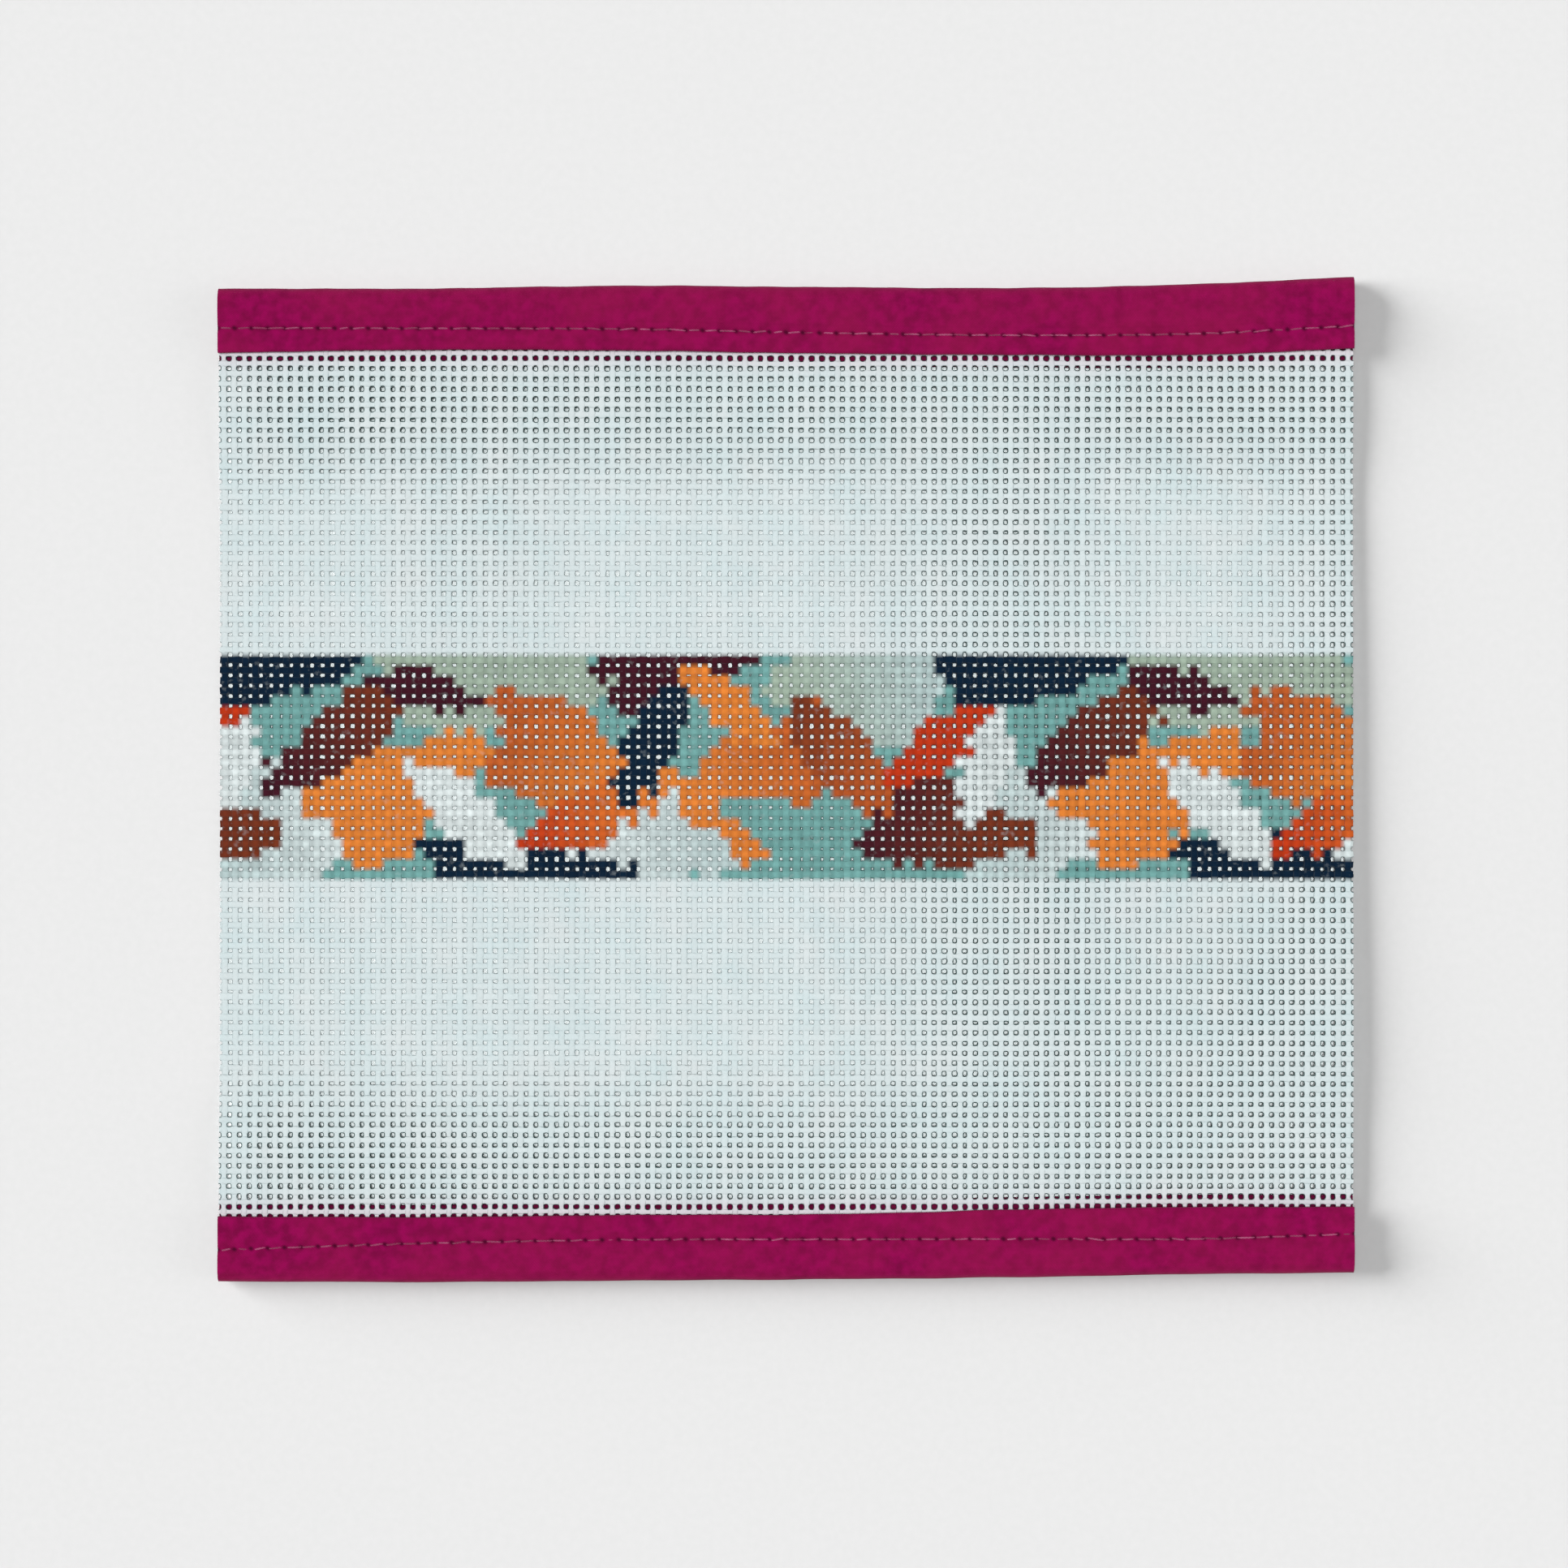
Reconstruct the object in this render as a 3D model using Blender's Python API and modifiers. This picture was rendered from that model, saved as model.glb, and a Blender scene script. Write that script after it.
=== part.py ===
"""Needlepoint canvas panel: an 18-count canvas ground with a folded cotton binding on its two long edges.

Metres, +Z up, +X along the bound edges. The panel lies face up on z = 0, its origin under its middle.
"""

import math

import bmesh
import bpy
import numpy as np

MM = 0.001

# The canvas is counted in threads: 18 to the inch each way.
PITCH = 25.4 * MM / 18
WARP_THREADS = 111
BAND_ROWS = 22
ROWS_ABOVE_BAND = 34
ROWS_BELOW_BAND = 37
BAND_CENTRE_Y = 1.7 * MM
CANVAS_THICKNESS = 1.0 * MM

# The binding is one strip folded over the canvas edge, its back leg reaching further in than its front.
BINDING_THICKNESS = 1.0 * MM
GAP = 0.3 * MM
BACK_EXTRA = 1.5 * MM
LEG_STEPS = 2
FOLD_STEPS = 6

# Where the bound edges run, in millimetres from the middle: they are not quite straight or parallel.
EDGE_COLUMNS = ("x", "top_outer", "top_inner", "bottom_inner", "bottom_outer")
EDGES = (
    (-78.3, 67.8, 58.8, -60.2, -69.3),
    (-50.0, 67.8, 59.2, -60.3, -69.4),
    (-22.0, 68.2, 59.1, -60.0, -69.2),
    (6.0, 68.0, 58.7, -59.9, -69.0),
    (34.0, 67.9, 58.5, -59.2, -68.7),
    (56.0, 68.4, 58.5, -58.9, -68.3),
    (78.3, 69.4, 59.4, -58.9, -68.1),
)

# Soft rises where the canvas stands off the surface, in millimetres. Elsewhere it lies flat.
RISE_COLUMNS = ("x", "y", "reach_x", "reach_y", "height")
RISES = (
    (29.0, 4.0, 17.0, 90.0, 1.3),
    (-44.0, 36.0, 12.0, 24.0, 0.6),
    (72.0, -44.0, 20.0, 26.0, 1.0),
    (48.0, -38.0, 26.0, 34.0, 0.5),
    (80.0, 6.0, 12.0, 60.0, 1.3),
)
# A rise below this height is pressed flat, so that the sheet touches in whole patches.
FLAT_BELOW = 0.12 * MM
# The canvas leaves the bindings level and eases down to the surface over this length.
LEVEL_PAST_BINDING = 4.0 * MM
EASE_LENGTH = 17.0 * MM

CANVAS_COLUMNS = 30
CANVAS_ROWS = 24
BINDING_COLUMNS = 30

CANVAS_COLOUR = (0.72, 0.80, 0.81)
BINDING_COLOUR = (0.27, 0.006, 0.075)
CANVAS_ROUGHNESS = 0.85
BINDING_ROUGHNESS = 0.8

CANVAS_WIDTH = WARP_THREADS * PITCH
CANVAS_TOP = BAND_CENTRE_Y + (BAND_ROWS / 2 + ROWS_ABOVE_BAND) * PITCH
CANVAS_BOTTOM = BAND_CENTRE_Y - (BAND_ROWS / 2 + ROWS_BELOW_BAND) * PITCH
CANVAS_LIFT = BINDING_THICKNESS + GAP
BINDING_HEIGHT = 2 * BINDING_THICKNESS + 2 * GAP + CANVAS_THICKNESS
FOLD_RADIUS = (BINDING_HEIGHT - BINDING_THICKNESS) / 2


def smooth_step(t):
    """0 below 0, 1 above 1, and a soft S between."""
    t = min(max(t, 0.0), 1.0)
    return t * t * (3 - 2 * t)


def edge_column(name):
    """One column of the edge table, in metres."""
    place = EDGE_COLUMNS.index(name)
    return [row[place] * MM for row in EDGES]


def edge_y(column, x):
    """The y of one of the edges at x, on a smooth curve through the table's points."""
    xs = edge_column("x")
    ys = edge_column(column)
    slopes = np.gradient(ys, xs)
    i = min(max(int(np.searchsorted(xs, x)) - 1, 0), len(xs) - 2)
    span = xs[i + 1] - xs[i]
    t = (x - xs[i]) / span
    return (
        (2 * t**3 - 3 * t**2 + 1) * ys[i]
        + (t**3 - 2 * t**2 + t) * span * slopes[i]
        + (3 * t**2 - 2 * t**3) * ys[i + 1]
        + (t**3 - t**2) * span * slopes[i + 1]
    )


def level_rows():
    """The y at which the canvas starts to ease down, at the bottom and at the top."""
    past = BACK_EXTRA + LEVEL_PAST_BINDING
    low = max(edge_column("bottom_inner")) + past
    high = min(edge_column("top_inner")) - past
    return low, high


def canvas_underside(x, y):
    """How high the canvas stands off the surface at a point."""
    rise = 0.0
    for row in RISES:
        soft = dict(zip(RISE_COLUMNS, row))
        far_x = (x / MM - soft["x"]) / soft["reach_x"]
        far_y = (y / MM - soft["y"]) / soft["reach_y"]
        rise += soft["height"] * MM * math.exp(-(far_x**2) - far_y**2)
    rise = max(rise - FLAT_BELOW, 0.0)
    low, high = level_rows()
    eased = 1 - smooth_step(min(y - low, high - y) / EASE_LENGTH)
    return rise + (CANVAS_LIFT - rise) * eased


def material(name, colour, roughness):
    made = bpy.data.materials.new(name)
    made.use_nodes = True
    shader = made.node_tree.nodes["Principled BSDF"]
    shader.inputs["Base Color"].default_value = (*colour, 1.0)
    shader.inputs["Roughness"].default_value = roughness
    shader.inputs["Metallic"].default_value = 0.0
    return made


def shaped_grid(name, columns, rows, place, collection, finish):
    """A grid of faces whose corner (i, j) stands at place(i, j)."""
    bm = bmesh.new()
    bmesh.ops.create_grid(bm, x_segments=columns, y_segments=rows, size=1.0)
    for vertex in bm.verts:
        i = round((vertex.co.x + 1) / 2 * columns)
        j = round((vertex.co.y + 1) / 2 * rows)
        vertex.co = place(i, j)
    mesh = bpy.data.meshes.new(name)
    bm.to_mesh(mesh)
    bm.free()
    mesh.materials.append(finish)
    mesh.shade_smooth()
    made = bpy.data.objects.new(name, mesh)
    collection.objects.link(made)
    return made


def solidify(piece, thickness, offset):
    shell = piece.modifiers.new("Thickness", "SOLIDIFY")
    shell.thickness = thickness
    shell.offset = offset
    shell.use_even_offset = True


def canvas_row_places():
    """The y of each row of the canvas grid: its cut edges, then even steps between its level rows."""
    low, high = level_rows()
    return [CANVAS_BOTTOM, *np.linspace(low, high, CANVAS_ROWS - 1), CANVAS_TOP]


def make_canvas(collection, finish):
    rows = canvas_row_places()

    def place(i, j):
        x = (i / CANVAS_COLUMNS - 0.5) * CANVAS_WIDTH
        return x, rows[j], canvas_underside(x, rows[j])

    canvas = shaped_grid("canvas", CANVAS_COLUMNS, CANVAS_ROWS, place, collection, finish)
    solidify(canvas, CANVAS_THICKNESS, 1.0)


def binding_section(inner, outer):
    """The strip's middle line from its back edge, round the fold at the outer edge, to its front edge.

    inner and outer are y values, and the list holds (y, z) points.
    """
    outwards = 1 if outer > inner else -1
    back_edge = inner - outwards * BACK_EXTRA
    fold_start = outer - outwards * (FOLD_RADIUS + BINDING_THICKNESS / 2)
    low = BINDING_THICKNESS / 2
    high = low + 2 * FOLD_RADIUS
    back = [(y, low) for y in np.linspace(back_edge, fold_start, LEG_STEPS + 1)[:-1]]
    front = [(y, high) for y in np.linspace(fold_start, inner, LEG_STEPS + 1)[1:]]
    turn = [math.pi * k / FOLD_STEPS for k in range(FOLD_STEPS + 1)]
    fold = [
        (
            fold_start + outwards * FOLD_RADIUS * math.sin(a),
            low + FOLD_RADIUS * (1 - math.cos(a)),
        )
        for a in turn
    ]
    return back + fold + front


def make_binding(name, inner_column, outer_column, collection, finish):
    rows = 2 * LEG_STEPS + FOLD_STEPS

    def place(i, j):
        x = (i / BINDING_COLUMNS - 0.5) * CANVAS_WIDTH
        section = binding_section(edge_y(inner_column, x), edge_y(outer_column, x))
        return (x, *section[j])

    binding = shaped_grid(name, BINDING_COLUMNS, rows, place, collection, finish)
    solidify(binding, BINDING_THICKNESS, 0.0)


def main():
    for leftover in list(bpy.data.objects):
        bpy.data.objects.remove(leftover)
    collection = bpy.data.collections.new("needlepoint_canvas_panel")
    bpy.context.scene.collection.children.link(collection)
    canvas_cotton = material("canvas_cotton", CANVAS_COLOUR, CANVAS_ROUGHNESS)
    binding_cotton = material("binding_cotton", BINDING_COLOUR, BINDING_ROUGHNESS)
    make_canvas(collection, canvas_cotton)
    make_binding("binding_top", "top_inner", "top_outer", collection, binding_cotton)
    make_binding("binding_bottom", "bottom_inner", "bottom_outer", collection, binding_cotton)


main()
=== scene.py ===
"""The looks of the needlepoint canvas panel: woven threads, a painted band and two sewn bindings.

Metres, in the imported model's frame: +X along the bound edges, +Y up the panel, +Z out of its painted face.
"""

import math

import bpy
import numpy as np
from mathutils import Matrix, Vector


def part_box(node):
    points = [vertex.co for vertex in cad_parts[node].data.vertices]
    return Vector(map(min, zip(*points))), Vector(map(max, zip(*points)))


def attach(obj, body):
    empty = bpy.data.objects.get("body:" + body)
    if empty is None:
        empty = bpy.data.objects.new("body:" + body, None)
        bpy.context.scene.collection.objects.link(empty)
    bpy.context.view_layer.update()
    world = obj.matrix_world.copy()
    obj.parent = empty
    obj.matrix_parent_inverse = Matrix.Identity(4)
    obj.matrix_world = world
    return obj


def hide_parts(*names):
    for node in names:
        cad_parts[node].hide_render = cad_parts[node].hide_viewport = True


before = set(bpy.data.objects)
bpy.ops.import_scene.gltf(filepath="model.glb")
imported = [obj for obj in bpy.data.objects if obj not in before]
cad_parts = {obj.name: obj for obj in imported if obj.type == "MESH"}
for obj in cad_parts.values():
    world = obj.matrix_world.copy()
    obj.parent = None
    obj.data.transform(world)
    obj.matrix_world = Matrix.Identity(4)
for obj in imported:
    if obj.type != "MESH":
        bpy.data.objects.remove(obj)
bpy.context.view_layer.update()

MM = 0.001
SEED = 18

# The canvas is counted in threads: 18 to the inch each way.
PITCH = 25.4 * MM / 18
WARP_THREADS = 111
ROWS_BELOW_BAND = 37
BAND_ROWS = 22
WEFT_THREADS = 93
# The weave is parted into pieces at these rows, and the painted band lies inside the middle one.
PIECE_ROWS = (
    ("canvas_bottom_rows", 0, 18),
    ("canvas_lower_rows", 18, 35),
    ("canvas_painted_rows", 35, 59),
    ("canvas_upper_rows", 59, 76),
    ("canvas_top_rows", 76, 93),
)

# A thread is a flattened oval, widest where it crosses another one.
THREAD_WIDTH = 1.05 * MM
THREAD_WIDTH_IN_HOLE = 0.88 * MM
THREAD_HEIGHT = 0.27 * MM
CRIMP = 0.065 * MM
THREAD_SIDES = 6
SQUARENESS = 0.58
WOVEN_HEIGHT = 2 * CRIMP + THREAD_HEIGHT
# Where a thread has points, in shares of the pitch: at the middle of a hole and either side of a crossing.
STEPS_IN_PITCH = (0.0, 0.3, 0.7)
STEPS_PER_CROSSING = len(STEPS_IN_PITCH)
# How unevenly threads are spun, as shares of their width, and laid, as shares of the pitch and of the crimp.
THREAD_UNEVENNESS = 0.05
PLACE_UNEVENNESS = 0.04
THREAD_WANDER = 0.035
PLACE_WANDER = 0.012
CRIMP_UNEVENNESS = 0.08
# How much paint a thread holds on top, at its sides and below.
SOAKED_AROUND = (1.0, 0.92, 0.15)
# Threads next to a binding are pulled thinner, and their holes are larger.
PULLED_NARROWER = 0.2
PULLED_REACH = 1.8 * MM

# Where the bound edges and seams run, in millimetres from the middle.
EDGE_COLUMNS = ("x", "top_outer", "top_seam", "top_inner", "bottom_inner", "bottom_seam", "bottom_outer")
EDGES = (
    (-78.3, 67.8, 62.2, 58.8, -60.2, -64.8, -69.3),
    (-50.0, 67.8, 62.15, 59.2, -60.3, -63.9, -69.4),
    (-22.0, 68.2, 62.05, 59.1, -60.0, -63.4, -69.2),
    (6.0, 68.0, 61.5, 58.7, -59.9, -63.35, -69.0),
    (34.0, 67.9, 61.2, 58.5, -59.2, -63.3, -68.7),
    (56.0, 68.4, 61.4, 58.5, -58.9, -63.3, -68.3),
    (78.3, 69.4, 62.5, 59.4, -58.9, -62.6, -68.1),
)

# Soft rises where the canvas stands off the surface, in millimetres, as in the solid.
RISE_COLUMNS = ("x", "y", "reach_x", "reach_y", "height")
RISES = (
    (29.0, 4.0, 17.0, 90.0, 1.3),
    (-44.0, 36.0, 12.0, 24.0, 0.6),
    (72.0, -44.0, 20.0, 26.0, 1.0),
    (48.0, -38.0, 26.0, 34.0, 0.5),
    (80.0, 6.0, 12.0, 60.0, 1.3),
)
FLAT_BELOW = 0.12 * MM
LEVEL_PAST_BINDING = 4.0 * MM
EASE_LENGTH = 17.0 * MM
CANVAS_LIFT = 1.3 * MM

# The binding is a cotton tape with both edges turned under, folded over the canvas edge.
TAPE_THICKNESS = 0.42 * MM
TURNED_UNDER = 6.0 * MM
BACK_EXTRA = 1.5 * MM
OUTER_FOLD_REACH = 1.0 * MM
# Heights of the middle of the tape's four layers.
BACK_LAYER = 0.21 * MM
BACK_UNDER_LAYER = 0.77 * MM
FRONT_UNDER_LAYER = 2.3 * MM
FRONT_LAYER = 2.84 * MM
# How far close points reach either side of the seam, and how far short of a turn the level stretches stop.
NEAR_SEAM = 1.2 * MM
SHORT_OF_FOLD = 0.1 * MM
SHORT_OF_EDGE = 0.3 * MM
# The seam draws the tape in: a trough along it, a dimple at each needle hole and puckers beside it.
TROUGH_DEPTH = 0.13 * MM
TROUGH_REACH = 0.5 * MM
DIMPLE_DEPTH = 0.2 * MM
PUCKER_HEIGHT = 0.035 * MM
PUCKER_REACH = 2.2 * MM
PUCKER_SLANT = 900.0
# The back leg is drawn in by this share. The front one puffs up and swells, and the edges wander.
BACK_DRAWN_IN = 0.5
PUFF_HEIGHT = 0.22 * MM
SWELL_HEIGHT = 0.05 * MM
EDGE_WANDER = 0.03 * MM
# Where the tape is rubbed paler: how strongly, and within what reach of its outer fold and its inner edge.
RUBBED_FOLD = (0.7, 0.9 * MM)
RUBBED_EDGE = (0.35, 0.35 * MM)
BINDINGS = (
    ("binding_top_cloth", "binding_top", ("top_outer", "top_seam", "top_inner")),
    ("binding_bottom_cloth", "binding_bottom", ("bottom_outer", "bottom_seam", "bottom_inner")),
)

# The bake map: threads lie in lanes, and a short one shares its lane with others.
BAKE_MAP = "OFBake"
LANE_MARGIN = 0.03
LANE_GAP = 0.06
WARPS_PER_LANE = 4
STITCHES_PER_LANE = 8
TAPE_MARGIN = 0.02

STITCHES = 68
STEPS_PER_STITCH = 5
SEWING_THREAD = 0.24 * MM
SEWING_SIDES = 8
NEEDLE_REACH = 0.38 * MM
# A stitch shows for this share of its length, give or take, and runs on at both ends into the needle holes.
STITCH_SHOWS = 0.66
STITCH_LENGTH_VARIES = 0.14
STITCH_RUNS_ON = 1.25
STITCH_SHIFT = 0.03
STITCH_SLANT = 0.07 * MM
STITCH_STEPS = 11
STITCH_ROUNDNESS = 0.6
STITCH_END_WIDTH = 0.55
# A front stitch arches this high, give or take, from this far below the face of the tape.
STITCH_RISE = 0.34 * MM
STITCH_RISE_VARIES = 0.03 * MM
STITCH_SUNK = 0.28 * MM
# A back stitch hangs down from this height.
BACK_STITCH_TOP = 0.34 * MM
BACK_STITCH_DROP = 0.2 * MM

low_corner, high_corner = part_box("canvas")
CANVAS_LEFT, CANVAS_BOTTOM = low_corner[0], low_corner[1]
CANVAS_WIDTH = high_corner[0] - low_corner[0]
STITCH = CANVAS_WIDTH / STITCHES


def srgb(red, green, blue):
    """A colour given as 0 to 255 numbers, in Blender's linear values."""
    parts = np.array([red, green, blue]) / 255
    return tuple(np.where(parts <= 0.04045, parts / 12.92, ((parts + 0.055) / 1.055) ** 2.4))


CANVAS_COOL = srgb(224, 240, 242)
CANVAS_WARM = srgb(233, 242, 243)
# Painted reflection: beside a binding the threads are tinted pink, standing for light bounced off its
# magenta.
CANVAS_MAGENTA_REFLECTION = srgb(232, 205, 218)
# Painted shade: the hole walls are painted darker and greener than the threads, most where the canvas is
# lifted.
WALL_SHADE_TINT = srgb(104, 126, 124)
# Between which shares of the full lift the painted shade on the walls grows.
WALL_SHADE_FROM = 0.1
WALL_SHADE_REACH = 0.85
# Where a wall is, as ranges of a cosine that peaks in mid-hole and of one that peaks at a thread's sides.
WALL_ALONG = (0.1, 0.5)
WALL_AROUND = (-0.5, -0.2)
# The painted shade on the hole walls is weaker where the threads hold band paint.
WALL_SHADE_PAINTED = 0.3
# Painted highlight and shade on the paint: how bright it is on a crossing, and how dark beside a hole.
PAINT_HIGHLIGHT_ON_CROSSING = 1.07
PAINT_SHADE_BESIDE_HOLE = 0.84
BINDING_DEEP = srgb(134, 0, 70)
BINDING_BRIGHT = srgb(163, 0, 90)
BINDING_RED = srgb(162, 20, 78)
# Painted shade, for the hollows of the tape's weave and for its parts deep in the fold under the canvas.
BINDING_PAINTED_SHADE = srgb(88, 2, 44)
# Painted shade in the needle holes.
NEEDLE_HOLE_PAINTED_SHADE = srgb(74, 0, 38)
BINDING_RUBBED = srgb(150, 26, 76)
SEWING_DEEP = srgb(146, 14, 80)
SEWING_LIGHT = srgb(206, 96, 146)
FLOOR_LOW = srgb(178, 178, 178)
FLOOR_HIGH = srgb(180, 180, 180)
# The spacing of the tape's own weave, in millimetres.
TAPE_WEAVE = 0.36
# Noise is read between these values, so that most of its range is used.
NOISE_RANGE = (0.3, 0.7)
NARROW_NOISE_RANGE = (0.35, 0.65)


def smooth_step(t):
    """0 below 0, 1 above 1, and a soft S between."""
    t = np.clip(t, 0.0, 1.0)
    return t * t * (3 - 2 * t)


def edge_column(name):
    """One column of the edge table, in metres."""
    place = EDGE_COLUMNS.index(name)
    return np.array([row[place] * MM for row in EDGES])


def edge_y(column, x):
    """The y of an edge or seam at each x, on the same smooth curve as the solid's."""
    xs = edge_column("x")
    ys = edge_column(column)
    slopes = np.gradient(ys, xs)
    i = np.clip(np.searchsorted(xs, x) - 1, 0, len(xs) - 2)
    span = xs[i + 1] - xs[i]
    t = (x - xs[i]) / span
    return (
        (2 * t**3 - 3 * t**2 + 1) * ys[i]
        + (t**3 - 2 * t**2 + t) * span * slopes[i]
        + (3 * t**2 - 2 * t**3) * ys[i + 1]
        + (t**3 - t**2) * span * slopes[i + 1]
    )


def canvas_underside(x, y):
    """How high the canvas stands off the surface, as in the solid."""
    rise = np.zeros_like(x)
    for row in RISES:
        soft = dict(zip(RISE_COLUMNS, row))
        far_x = (x / MM - soft["x"]) / soft["reach_x"]
        far_y = (y / MM - soft["y"]) / soft["reach_y"]
        rise += soft["height"] * MM * np.exp(-(far_x**2) - far_y**2)
    rise = np.maximum(rise - FLAT_BELOW, 0.0)
    past = BACK_EXTRA + LEVEL_PAST_BINDING
    low = edge_column("bottom_inner").max() + past
    high = edge_column("top_inner").min() - past
    eased = 1 - smooth_step(np.minimum(y - low, high - y) / EASE_LENGTH)
    return rise + (CANVAS_LIFT - rise) * eased


def soft_noise(random, along, count, waves, longest, shortest):
    """count rows of smooth seeded wander, about 1 high, at the places along."""
    rows = np.zeros((count, len(along)))
    for _ in range(waves):
        length = random.uniform(shortest, longest, (count, 1))
        start = random.uniform(0, 2 * math.pi, (count, 1))
        rows += np.sin(2 * math.pi * along[None, :] / length + start)
    return rows / math.sqrt(waves)


def make_mesh(name, points, smooth_faces, flat_faces=None):
    """A mesh from an array of points and arrays of faces, with sharp edges round the flat ones."""
    groups = [smooth_faces] if flat_faces is None else [smooth_faces, flat_faces]
    corners = np.concatenate([g.ravel() for g in groups]).astype(np.int32)
    totals = np.concatenate([np.full(len(g), g.shape[1]) for g in groups])
    starts = np.concatenate([[0], np.cumsum(totals)[:-1]]).astype(np.int32)
    mesh = bpy.data.meshes.new(name)
    mesh.vertices.add(len(points))
    mesh.vertices.foreach_set("co", points.astype(np.float32).ravel())
    mesh.loops.add(len(corners))
    mesh.loops.foreach_set("vertex_index", corners)
    mesh.polygons.add(len(totals))
    mesh.polygons.foreach_set("loop_start", starts)
    mesh.polygons.foreach_set("use_smooth", np.arange(len(totals)) < len(smooth_faces))
    mesh.update(calc_edges=True)
    if flat_faces is not None:
        edge_of_corner = np.empty(len(corners), dtype=np.int32)
        mesh.loops.foreach_get("edge_index", edge_of_corner)
        sharp = np.zeros(len(mesh.edges), dtype=bool)
        sharp[edge_of_corner[smooth_faces.size:]] = True
        mesh.edges.foreach_set("use_edge_sharp", sharp)
    return mesh


def add_object(name, data, finish=None):
    """A piece, a camera or a light in the scene. Only a piece has a material."""
    made = bpy.data.objects.new(name, data)
    if finish is not None:
        data.materials.append(finish)
    bpy.context.scene.collection.objects.link(made)
    return made


def add_uv(mesh, name, places):
    layer = mesh.uv_layers.new(name=name)
    layer.uv.foreach_set("vector", places.astype(np.float32).ravel())


def add_numbers(mesh, name, values, kind="FLOAT", field="value"):
    """A number for each vertex, for a material to read."""
    layer = mesh.attributes.new(name, kind, "POINT")
    layer.data.foreach_set(field, values.astype(np.float32).ravel())


def add_colours(mesh, name, values):
    """A colour for each vertex, for a material to read."""
    rgba = np.concatenate([values, np.ones((len(values), 1))], axis=1)
    add_numbers(mesh, name, rgba, "FLOAT_COLOR", "color")


def oval_rings(centres, widths, heights, sides):
    """Rings of points round threads: centres is (threads, stations, 3), widths and heights are full sizes."""
    travel = np.gradient(centres, axis=1)
    travel /= np.linalg.norm(travel, axis=2, keepdims=True)
    across = np.cross(travel, [0.0, 0.0, 1.0])
    across /= np.linalg.norm(across, axis=2, keepdims=True)
    upwards = np.cross(across, travel)
    turn = 2 * math.pi * np.arange(sides) / sides
    flat_cos = np.sign(np.cos(turn)) * np.abs(np.cos(turn)) ** SQUARENESS
    flat_sin = np.sign(np.sin(turn)) * np.abs(np.sin(turn)) ** SQUARENESS
    reach = (widths / 2)[:, :, None, None] * flat_cos[None, None, :, None]
    lift = (heights / 2)[:, :, None, None] * flat_sin[None, None, :, None]
    return centres[:, :, None, :] + across[:, :, None, :] * reach + upwards[:, :, None, :] * lift


def tube_faces(threads, stations, sides, first=0):
    """Quads round the tubes and a cap on each end, for points in the order of oval_rings."""
    thread, station, side = np.meshgrid(
        np.arange(threads), np.arange(stations - 1), np.arange(sides), indexing="ij"
    )
    after = (side + 1) % sides
    base = first + (thread * stations + station) * sides
    quads = np.stack([base + side, base + sides + side, base + sides + after, base + after], axis=-1)
    ring = np.arange(sides)
    starts = first + (np.arange(threads) * stations * sides)[:, None] + ring[None, :]
    ends = first + ((np.arange(threads) + 1) * stations * sides - sides)[:, None] + ring[None, ::-1]
    return quads.reshape(-1, 4), np.concatenate([starts, ends])


def tube_places(along, sides):
    """For each corner of the tubes' quads: how far along its thread, and how far round, from 0 to 1.

    along is (threads, stations).
    """
    near = np.repeat(along[:, :-1, None], sides, axis=2)
    far = np.repeat(along[:, 1:, None], sides, axis=2)
    here = np.broadcast_to(np.arange(sides) / sides, near.shape)
    after = here + 1 / sides
    u = np.stack([near, far, far, near], axis=-1)
    v = np.stack([here, here, after, after], axis=-1)
    return u.reshape(-1), v.reshape(-1)


def feed(tree, socket, value):
    """Sets a socket to a number or a colour, or links it to another node's socket."""
    if isinstance(value, tuple):
        socket.default_value = (*value, 1.0)
    elif isinstance(value, (int, float)):
        socket.default_value = value
    else:
        tree.links.new(value, socket)


def node(tree, kind, **values):
    """A shader node with its properties and its inputs set by name."""
    made = tree.nodes.new(kind)
    for name, value in values.items():
        if hasattr(made, name):
            setattr(made, name, value)
        else:
            feed(tree, made.inputs[name.replace("_", " ")], value)
    return made


def new_material(name):
    """A material, its tree, and where each point is on its object."""
    made = bpy.data.materials.new(name)
    made.use_nodes = True
    return made, made.node_tree, node(made.node_tree, "ShaderNodeTexCoord").outputs["Object"]


def finish_shader(tree, **values):
    """Sets or links the inputs of the material's shader by name."""
    for name, value in values.items():
        feed(tree, tree.nodes["Principled BSDF"].inputs[name.replace("_", " ")], value)


def number(tree, attribute):
    return node(tree, "ShaderNodeAttribute", attribute_name=attribute).outputs["Fac"]


def noise(tree, places, scale, detail):
    return node(tree, "ShaderNodeTexNoise", Vector=places, Scale=scale, Detail=detail).outputs["Fac"]


def mapped(tree, value, low, high, to_low, to_high):
    made = node(
        tree, "ShaderNodeMapRange", Value=value, From_Min=low, From_Max=high, To_Min=to_low, To_Max=to_high
    )
    return made.outputs["Result"]


def arithmetic(tree, operation, *values):
    made = node(tree, "ShaderNodeMath", operation=operation)
    for place, value in enumerate(values):
        feed(tree, made.inputs[place], value)
    return made.outputs[0]


def times(tree, first, second):
    return arithmetic(tree, "MULTIPLY", first, second)


def mixed(tree, factor, first, second, blend="MIX"):
    """Two colours mixed: each is a colour or a socket, and so is the factor a number or a socket."""
    made = node(tree, "ShaderNodeMix", data_type="RGBA", blend_type=blend)
    for place, value in ((0, factor), (6, first), (7, second)):
        feed(tree, made.inputs[place], value)
    return made.outputs[2]


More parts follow.
